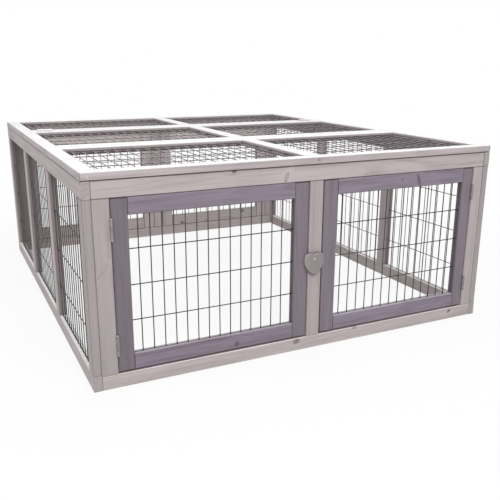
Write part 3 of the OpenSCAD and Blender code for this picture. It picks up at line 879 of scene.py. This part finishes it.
# Floor, white to the camera but with the run's soft shadow, and a white surround.
# SHADOW_SHARE: how much of the floor's own shade the camera sees up to SHADOW_FULL metres
# from the middle, and this fades out until SHADOW_END

FLOOR_SIZE = 9.0
FLOOR_DROP = 0.2 * MM
FLOOR_COLOUR = (0.88, 0.88, 0.88, 1.0)
WHITE = (1.0, 1.0, 1.0, 1.0)
SHADOW_SHARE = 0.13
SHADOW_FULL = 0.85
SHADOW_END = 1.6
WORLD_LIGHT = 0.42


def seen_directly(tree):
    """1 for rays of the camera and of gloss or glass, 0 for the rays that light things."""
    path = tree.nodes.new("ShaderNodeLightPath")
    seen = calc(tree, "MAXIMUM", path.outputs["Is Camera Ray"], path.outputs["Is Glossy Ray"])
    return calc(tree, "MAXIMUM", seen, path.outputs["Is Transmission Ray"])


half = FLOOR_SIZE / 2
floor_mesh = bpy.data.meshes.new("floor")
floor_mesh.from_pydata(
    [(-half, -half, 0), (half, -half, 0), (half, half, 0), (-half, half, 0)], [], [(0, 1, 2, 3)]
)
floor = add_object("floor", floor_mesh)
floor.location.z = -FLOOR_DROP

floor_material = bpy.data.materials.new("floor_finish")
floor_material.use_nodes = True
floor_tree = floor_material.node_tree
floor_tree.nodes.clear()
floor_diffuse = add_node(floor_tree, "ShaderNodeBsdfDiffuse", Color=FLOOR_COLOUR)
floor_glow = add_node(floor_tree, "ShaderNodeEmission", Color=WHITE, Strength=1.0)
floor_place = add_node(floor_tree, "ShaderNodeTexCoord").outputs["Object"]
from_middle = vector(floor_tree, "LENGTH", floor_place)
glow_share = ramp(floor_tree, from_middle, SHADOW_FULL, SHADOW_END, 1.0 - SHADOW_SHARE, 1.0)
floor_mix = floor_tree.nodes.new("ShaderNodeMixShader")
feed(floor_tree, floor_mix.inputs[0], both(floor_tree, seen_directly(floor_tree), glow_share))
feed(floor_tree, floor_mix.inputs[1], floor_diffuse.outputs["BSDF"])
feed(floor_tree, floor_mix.inputs[2], floor_glow.outputs["Emission"])
add_node(floor_tree, "ShaderNodeOutputMaterial", Surface=floor_mix.outputs[0])
floor_mesh.materials.append(floor_material)

world = bpy.data.worlds.new("studio")
bpy.context.scene.world = world
world.use_nodes = True
world_tree = world.node_tree
world_tree.nodes.clear()
seen_white = seen_directly(world_tree)
strength = calc(world_tree, "MULTIPLY_ADD", seen_white, 1.0 - WORLD_LIGHT, WORLD_LIGHT)
background = add_node(world_tree, "ShaderNodeBackground", Color=WHITE, Strength=strength)
add_node(world_tree, "ShaderNodeOutputWorld", Surface=background.outputs["Background"])


def soft_lamp(name, place, target, size, power):
    """Square area lamp that points at a target."""
    data = bpy.data.lights.new(name, "AREA")
    data.shape = "SQUARE"
    data.size = size
    data.energy = power
    lamp = add_object(name, data)
    lamp.location = place
    aim = Vector(target) - Vector(place)
    lamp.rotation_euler = aim.to_track_quat("-Z", "Y").to_euler()


soft_lamp("key_lamp", (-0.6, -3.2, 3.0), (0.0, 0.0, 0.2), size=2.6, power=95.0)
soft_lamp("top_lamp", (0.4, 0.3, 3.6), (0.0, 0.0, 0.3), size=2.4, power=38.0)
soft_lamp("side_lamp", (-3.4, -0.8, 1.8), (0.0, 0.0, 0.2), size=2.2, power=28.0)

# Camera, fitted to the photograph's corners and edges
SENSOR = 36.0
FOCAL_PIXELS = 649.08
IMAGE_PIXELS = 500
CAMERA_PLACE = Vector((-0.75442, -1.79742, 0.65413))
CAMERA_FORWARD = Vector((0.42128, 0.86327, -0.27803))
CAMERA_UP = Vector((0.11798, 0.25179, 0.96056))
forward = CAMERA_FORWARD.normalized()
right = forward.cross(CAMERA_UP).normalized()
up = right.cross(forward)
camera_data = bpy.data.cameras.new("camera")
camera_data.sensor_width = SENSOR
camera_data.lens = FOCAL_PIXELS * SENSOR / IMAGE_PIXELS
camera_data.clip_start = 0.05
camera_data.clip_end = 50.0
camera = add_object("camera", camera_data)
turn = Matrix((right, up, -forward)).transposed()
camera.matrix_world = Matrix.Translation(CAMERA_PLACE) @ turn.to_4x4()
bpy.context.scene.camera = camera

bpy.context.scene.view_settings.view_transform = "Standard"
